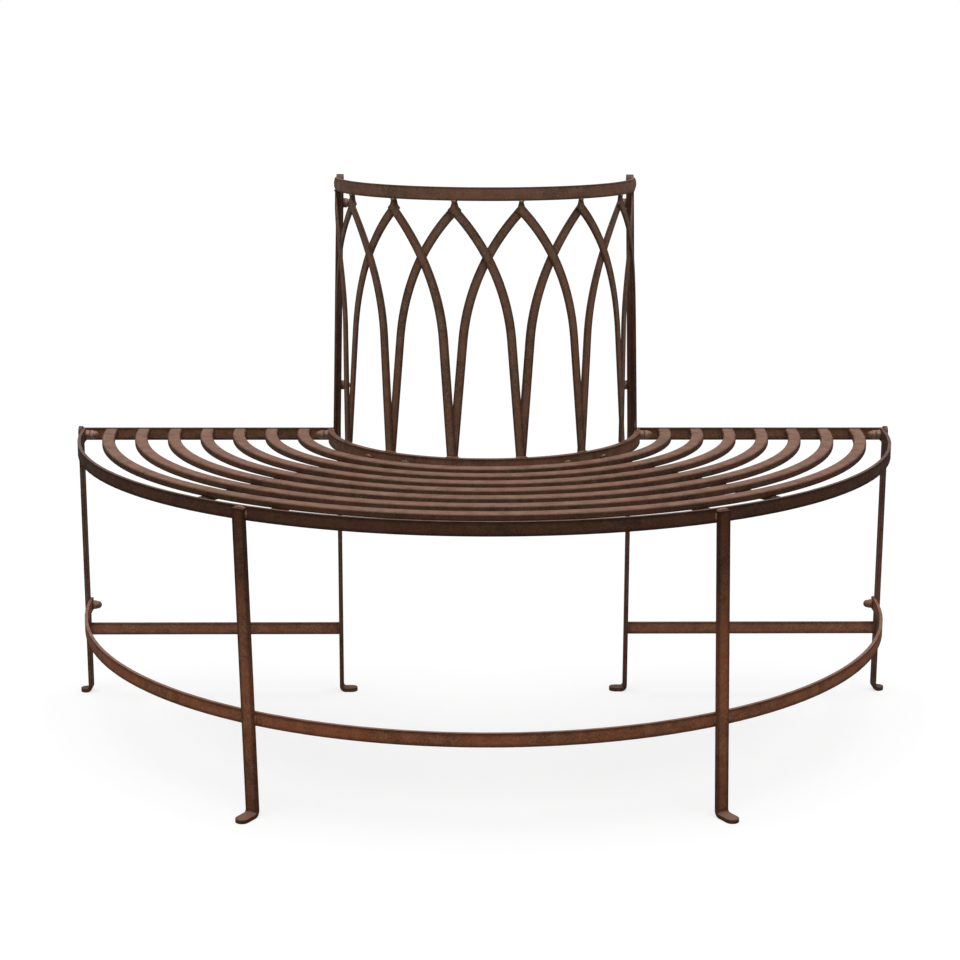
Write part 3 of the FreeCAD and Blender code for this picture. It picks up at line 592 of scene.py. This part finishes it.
def addPrism(bm, found, bothEnds):
    deep = found["deep"]
    reach = found["reach"]
    made = bmesh.ops.create_cone(bm, cap_ends=True, segments=6, radius1=reach, radius2=reach, depth=deep,
                                 matrix=Matrix.Translation((0, 0, deep / 2)))
    rims = []
    for edge in edgesAt(bm, made["verts"]):
        first, second = (vert.co.z > deep / 2 for vert in edge.verts)
        if first == second and (bothEnds or first):
            rims.append(edge)
    bmesh.ops.bevel(bm, geom=rims, offset=nutShape["chamfer"], offset_type="OFFSET", segments=1,
                    profile=0.5, affect="EDGES", material=-1)


def capNut(found):
    bm = bmesh.new()
    radius = found["reach"] * nutShape["domeShare"]
    shoulder = found["long"] + nutShape["standsProud"] - radius
    bmesh.ops.create_uvsphere(bm, u_segments=nutShape["domeSides"], v_segments=nutShape["domeSteps"],
                              radius=radius)
    bmesh.ops.bisect_plane(bm, geom=bm.verts[:] + bm.edges[:] + bm.faces[:], plane_co=(0, 0, 0),
                           plane_no=(0, 0, -1), clear_outer=True)
    bmesh.ops.translate(bm, verts=bm.verts, vec=(0, 0, shoulder))
    made = bmesh.ops.extrude_edge_only(bm, edges=[edge for edge in bm.edges if edge.is_boundary])
    lower = pickedFrom(made, bmesh.types.BMVert)
    bmesh.ops.translate(bm, verts=lower, vec=(0, 0, found["deep"] / 2 - shoulder))
    bmesh.ops.holes_fill(bm, edges=[edge for edge in bm.edges if edge.is_boundary])
    addPrism(bm, found, False)
    return bm


def plainNut(found):
    bm = bmesh.new()
    addPrism(bm, found, True)
    return bm


def socketBolt(found):
    bm = bmesh.new()
    edge = boltShape["edge"]
    head = found["reach"]
    shank = boltShape["shankShare"] * head
    outer = bmesh.ops.create_circle(bm, segments=boltShape["sides"], radius=head - edge)["verts"]
    faceRing = edgesAt(bm, outer)
    ring = faceRing
    radius = head - edge
    for wider, depth in ((head, edge), (shank, edge + head - shank), (shank, found["long"])):
        made = bmesh.ops.extrude_edge_only(bm, edges=ring)
        verts = pickedFrom(made, bmesh.types.BMVert)
        ring = pickedFrom(made, bmesh.types.BMEdge)
        bmesh.ops.scale(bm, verts=verts, vec=(wider / radius, wider / radius, 1))
        bmesh.ops.translate(bm, verts=verts, vec=(0, 0, depth - verts[0].co.z))
        radius = wider
    bmesh.ops.holes_fill(bm, edges=ring)
    socket = bmesh.ops.create_circle(bm, segments=6, radius=boltShape["socketReach"])["verts"]
    socketRing = edgesAt(bm, socket)
    bmesh.ops.bridge_loops(bm, edges=faceRing + socketRing)
    made = bmesh.ops.extrude_edge_only(bm, edges=socketRing)
    bottom = pickedFrom(made, bmesh.types.BMVert)
    bmesh.ops.translate(bm, verts=bottom, vec=(0, 0, boltShape["socketDepth"]))
    bmesh.ops.holes_fill(bm, edges=pickedFrom(made, bmesh.types.BMEdge))
    return bm


fastenerMakers = {
    "cap_nuts": capNut,
    "hex_nuts": plainNut,
    "back_and_hoop_bolts": socketBolt,
    "seat_outer_bolts": socketBolt,
    "seat_inner_bolts": socketBolt,
}


def fitFasteners():
    for name, maker in fastenerMakers.items():
        nodes[name].data.materials.clear()
        nodes[name].data.materials.append(materials["nutPaint"])
        whole = bmesh.new()
        for points in looseParts(name):
            found = readFastener(points)
            single = maker(found)
            bmesh.ops.recalc_face_normals(single, faces=single.faces)
            bmesh.ops.transform(single, matrix=placeAlong(found), verts=single.verts)
            carrier = bpy.data.meshes.new("carrier")
            single.to_mesh(carrier)
            single.free()
            whole.from_mesh(carrier)
            bpy.data.meshes.remove(carrier)
        finishPiece(whole, name + "_fine", "nutPaint", [name])


fitFasteners()
print("nuts and bolts fitted")


# Welds: short painted beads at the joints of the bars

beadShape = {
    "around": 10,
    "ripple": 0.10,          # how far the ripples stand out, as a share of the bead's width
    "rippleStep": 0.0021,
    "stretches": 4,          # each of which swells or thins in its own way
    "unevenness": 0.12,
    "evenFrom": 0.95,        # of the way to the tips, which stay even
    "bluntest": 2.0,         # the most that a tip is filled out
    "proud": 0.0004,         # how far a bead's middle stands off its joint
}

beadSizes = {                # length, width and height
    "supportEnd": (0.0135, 0.0052, 0.0036),
    "slatEnd": (0.0170, 0.0050, 0.0030),
    "slatCrossing": (0.0110, 0.0045, 0.0028),
    "railEnd": (0.0180, 0.0048, 0.0030),
    "legTop": (0.0205, 0.0050, 0.0032),
    "legSide": (0.0125, 0.0040, 0.0026),
    "hoopSide": (0.0130, 0.0038, 0.0024),
    "stretcherEnd": (0.0175, 0.0046, 0.0028),
    "latticeFoot": (0.0200, 0.0040, 0.0024),
    "latticeTip": (0.0085, 0.0034, 0.0020),
    "topRailEnd": (0.0175, 0.0040, 0.0020),
}

barReading = {
    "straightEnd": 0.0005,   # how near a point lies to the end that it belongs to
    "slantedEnd": 0.001,
    "underRail": 0.005,      # how near a lattice bar comes to the rail that holds it
}

backBeads = {
    "tipOut": 0.0012,        # from the middle of a lattice bar's tip
    "tipDown": 0.0008,
    "railTurn": 0.4,         # how far the bead at the top rail's end looks to the front
}

weldNoise = random.Random(7)
upward = Vector((0, 0, 1))
acrossBench = Vector((1, 0, 0))
slatWidth = 0.020
hoopWidth = 0.020
ankleHeight = 0.010          # where the front legs bend into their toes


def addBead(bm, middle, along, outward, size):
    long, wide, high = size
    steps = max(6, round(long / beadShape["rippleStep"] * 2))
    made = bmesh.ops.create_uvsphere(bm, u_segments=beadShape["around"], v_segments=steps, radius=1.0)
    turns = math.pi * long / beadShape["rippleStep"]
    phase = weldNoise.uniform(0, 6)
    stretches = beadShape["stretches"]
    swell = [1 + weldNoise.uniform(-1, 1) * beadShape["unevenness"] for stretch in range(stretches)]
    along = along.normalized()
    outward = (outward - along * outward.dot(along)).normalized()
    side = along.cross(outward)
    for vert in made["verts"]:
        travel = vert.co.z   # from -1 to 1 along the bead
        blunt = (1 - abs(travel) ** 3) / math.sqrt(max(1e-8, 1 - travel ** 2))
        thick = min(beadShape["bluntest"], blunt)
        thick *= 1 + beadShape["ripple"] * math.sin(travel * turns + phase)
        if abs(travel) < beadShape["evenFrom"]:
            thick *= swell[min(stretches - 1, int((travel + 1) / 2 * stretches))]
        vert.co = (middle + along * (travel * long / 2) + side * (vert.co.x * thick * wide / 2)
                   + outward * (vert.co.y * thick * high))


def pointsOf(name):
    return [vert.co.copy() for vert in nodes[name].data.vertices]


def namesFrom(start):
    return [name for name in sorted(nodes) if name.startswith(start)]


rimLow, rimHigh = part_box("seat_outer_rim")
ringLow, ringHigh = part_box("seat_inner_rim")
railLow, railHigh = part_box("seat_end_rail_left")
supportLow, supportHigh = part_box("seat_support_inner_left")
bendCentre = Vector((0, rimHigh.y, 0))   # of every half round of the seat
rimInside = rimHigh.y - rimLow.y - (railHigh.y - railLow.y)
ringOutside = ringHigh.y - ringLow.y


def outwardFrom(point):
    return Vector((point.x, point.y - bendCentre.y, 0)).normalized()


def weldSupports(bm):
    for name in namesFrom("seat_support"):
        for radius, sign in ((ringOutside, 1), (rimInside, -1)):
            end = [p for p in pointsOf(name)
                   if abs((p - bendCentre).xy.length - radius) < barReading["slantedEnd"]]
            outward = outwardFrom(middleOf(end))
            for height, rise in ((supportHigh.z, 1), (supportLow.z, -1)):
                place = bendCentre + outward * (radius + sign * beadShape["proud"]) + upward * height
                addBead(bm, place, outward.cross(upward), outward * sign + upward * rise,
                        beadSizes["supportEnd"])


def supportLines():
    lines = []
    for name in namesFrom("seat_support"):
        points = sorted(pointsOf(name), key=lambda p: (p - bendCentre).xy.length)
        lines.append((middleOf(points[:4]).xy, middleOf(points[-4:]).xy))
    return lines


def weldSlats(bm):
    lines = supportLines()
    for name in namesFrom("seat_slat"):
        low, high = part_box(name)
        ends = [p for p in pointsOf(name) if p.y > high.y - barReading["straightEnd"]]
        for sign in (-1, 1):
            side = [p.x for p in ends if p.x * sign > 0]
            place = Vector(((min(side) + max(side)) / 2, railLow.y - beadShape["proud"], low.z))
            addBead(bm, place, acrossBench, Vector((0, -1, -1)), beadSizes["slatEnd"])
        deep = bendCentre.y - low.y
        radius = (max(p.x for p in ends) ** 2 + deep ** 2) / (2 * deep)
        centre = Vector((0, low.y + radius))
        inside = radius - slatWidth
        for inner, outer in lines:           # where the slat's inner edge crosses the support
            way = (outer - inner).normalized()
            start = inner - centre
            half = start.dot(way)
            place = inner + way * (math.sqrt(half ** 2 - start.length_squared + inside ** 2) - half)
            outward = (centre - place).normalized().to_3d()
            place = Vector((place.x, place.y, supportHigh.z)) + outward * beadShape["proud"]
            addBead(bm, place, outward.cross(upward), outward + upward, beadSizes["slatCrossing"])


def weldRails(bm):
    middle = (rimHigh.z + rimLow.z) / 2
    for name in namesFrom("seat_end_rail"):
        low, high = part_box(name)
        for x, away in ((low.x, 1), (high.x, -1)):
            place = Vector((x + away * beadShape["proud"], low.y - beadShape["proud"], middle))
            addBead(bm, place, upward, Vector((away, -1, 0)), beadSizes["railEnd"])


def weldLegs(bm):
    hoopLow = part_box("lower_hoop")[0].z
    for name in namesFrom("front_leg"):
        points = pointsOf(name)
        top = max(p.z for p in points)
        head = [p for p in points if p.z > top - barReading["straightEnd"]]
        ankle = [p for p in points if abs(p.z - ankleHeight) < barReading["straightEnd"]]
        face = outwardFrom(middleOf(head))
        along = upward.cross(face)
        half = max((p - middleOf(head)).dot(along) for p in head)
        for height, size in (((top + rimLow.z) / 2, "legSide"), (hoopLow + hoopWidth / 2, "hoopSide")):
            middle = middleOf(head).lerp(middleOf(ankle), (top - height) / (top - ankleHeight))
            outward = outwardFrom(middle)
            middle = bendCentre + outward * (rimHigh.y - rimLow.y) + upward * height
            for way in (-1, 1):
                edge = middle + along * way * half + outward * beadShape["proud"]
                addBead(bm, edge, upward, outward + along * way, beadSizes[size])
        place = bendCentre + face * (rimHigh.y - rimLow.y + beadShape["proud"]) + upward * top
        addBead(bm, place, along, face + upward, beadSizes["legTop"])
    for name in namesFrom("rear_stretcher"):
        low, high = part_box(name)
        for x, away in ((low.x, 1), (high.x, -1)):
            for y, way in ((low.y, -1), (high.y, 1)):
                place = Vector((x + away * beadShape["proud"], y, (low.z + high.z) / 2))
                addBead(bm, place, upward, Vector((away, way, 0)), beadSizes["stretcherEnd"])


def weldBack(bm):
    low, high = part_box("back_top_rail")
    for name in namesFrom("lattice_bar"):
        points = pointsOf(name)
        bottom = min(p.z for p in points)
        top = max(p.z for p in points)
        foot = [p for p in points if p.z < bottom + barReading["slantedEnd"]]
        middle = middleOf(foot)
        outward = outwardFrom(middle)
        reach = max((p - middle).dot(outward) for p in foot)
        place = middle + outward * reach + upward * beadShape["proud"]
        addBead(bm, place, outward.cross(upward), outward + upward, beadSizes["latticeFoot"])
        if top > low.z - barReading["underRail"]:    # the bars beside the stiles end lower down
            tip = middleOf([p for p in points if p.z > top - barReading["slantedEnd"]])
            outward = outwardFrom(tip)
            place = tip + outward * backBeads["tipOut"] - upward * backBeads["tipDown"]
            addBead(bm, place, outward.cross(upward), outward - upward, beadSizes["latticeTip"])
    ends = [p for p in pointsOf("back_top_rail") if p.y > high.y - barReading["straightEnd"]]
    for sign in (-1, 1):
        reach = [p.x * sign for p in ends if p.x * sign > 0]
        for x, away in ((max(reach), 1), (min(reach), -1)):
            place = Vector((sign * (x - away * beadShape["proud"]), high.y, (low.z + high.z) / 2))
            outward = Vector((sign * away, -backBeads["railTurn"], 0))
            addBead(bm, place, upward, outward, beadSizes["topRailEnd"])


weldJobs = {                 # in this order, because all beads draw on weldNoise
    "seat_welds": (weldSupports, weldSlats, weldRails),
    "leg_welds": (weldLegs,),
    "back_welds": (weldBack,),
}


def layWelds():
    for name, steps in weldJobs.items():
        bm = bmesh.new()
        for step in steps:
            step(bm)
        bmesh.ops.recalc_face_normals(bm, faces=bm.faces)
        finishPiece(bm, name, "weldPaint")


layWelds()
print("welds laid")


# Floor and light: a white room whose light comes mostly from above

studio = {
    "floorSize": 60,
    "floorGrey": 0.36,       # what the floor throws back at the bench
    "floorMirrored": 0.12,   # the same in the paint's gloss
    "floorLift": 0.69,       # added for the camera only
    "skyLight": 0.10,
    "mirrored": (0.08, 0.32),        # brightness of the room in the gloss, in front and behind
    "mirrorLevels": (-0.3, 0.6),     # how far to the back it starts to change and ends
    "lampStrength": 2.7,
    "lampSoftness": 60,      # degrees
    "lampTilt": 5,           # degrees off straight down, so that it shines a little from the front
    "lampTurn": -6,          # degrees about the vertical
}


def seenDirectly(tree, place):
    path = addNode(tree, "ShaderNodeLightPath", place)
    return mathNode(tree, (place[0] + 200, place[1]), "MAXIMUM", path.outputs["Is Camera Ray"],
                    path.outputs["Is Transmission Ray"])


def mirroredRoom(tree, look):
    path = addNode(tree, "ShaderNodeLightPath", (-1300, -200))
    way = addNode(tree, "ShaderNodeSeparateXYZ", (-1100, -400))
    tree.links.new(addNode(tree, "ShaderNodeTexCoord", (-1300, -400)).outputs["Generated"], way.inputs[0])
    room = rampNode(tree, (-900, -400), way.outputs["Y"], look["mirrorLevels"], look["mirrored"])
    return mathNode(tree, (-700, -200), "MULTIPLY", path.outputs["Is Glossy Ray"], room)


def layFloor(look):
    bm = bmesh.new()
    bmesh.ops.create_grid(bm, x_segments=2, y_segments=2, size=look["floorSize"])
    mesh = bpy.data.meshes.new("paleFloor")
    bm.to_mesh(mesh)
    bm.free()
    floor = bpy.data.objects.new("paleFloor", mesh)
    scene.collection.objects.link(floor)
    pale = bpy.data.materials.new("paleFloor")
    pale.use_nodes = True
    tree = pale.node_tree
    out = tree.nodes["Material Output"]
    shader = tree.nodes["Principled BSDF"]
    plain = (look["floorGrey"],) * 3 + (1,)
    mirrored = (look["floorMirrored"],) * 3 + (1,)
    glossy = addNode(tree, "ShaderNodeLightPath", (-700, 100)).outputs["Is Glossy Ray"]
    tree.links.new(blendColors(tree, (-300, 100), glossy, plain, mirrored), shader.inputs["Base Color"])
    shader.inputs["Roughness"].default_value = 1.0
    shader.inputs["Specular IOR Level"].default_value = 0.0
    glow = addNode(tree, "ShaderNodeEmission", (0, -200))
    lift = mathNode(tree, (-100, -300), "MULTIPLY", seenDirectly(tree, (-700, -300)), look["floorLift"])
    tree.links.new(lift, glow.inputs["Strength"])
    both = addNode(tree, "ShaderNodeAddShader", (200, 0))
    tree.links.new(shader.outputs[0], both.inputs[0])
    tree.links.new(glow.outputs[0], both.inputs[1])
    tree.links.new(both.outputs[0], out.inputs["Surface"])
    mesh.materials.append(pale)


def lightRoom(look):
    world = bpy.data.worlds.new("whiteRoom")
    scene.world = world
    world.use_nodes = True
    tree = world.node_tree
    sky = tree.nodes["Background"]
    sky.inputs["Color"].default_value = (1, 1, 1, 1)
    strength = mathNode(tree, (-400, 0), "MAXIMUM", seenDirectly(tree, (-900, 200)),
                        mirroredRoom(tree, look))
    strength = mathNode(tree, (-200, 0), "MAXIMUM", strength, look["skyLight"])
    tree.links.new(strength, sky.inputs["Strength"])
    data = bpy.data.lights.new("topLight", "SUN")
    data.energy = look["lampStrength"]
    data.angle = math.radians(look["lampSoftness"])
    lamp = bpy.data.objects.new("topLight", data)
    lamp.rotation_euler = (math.radians(look["lampTilt"]), 0, math.radians(look["lampTurn"]))
    scene.collection.objects.link(lamp)


layFloor(studio)
lightRoom(studio)
placeCamera(photoCamera)
scene.view_settings.view_transform = "Standard"
print("floor, light and camera set")
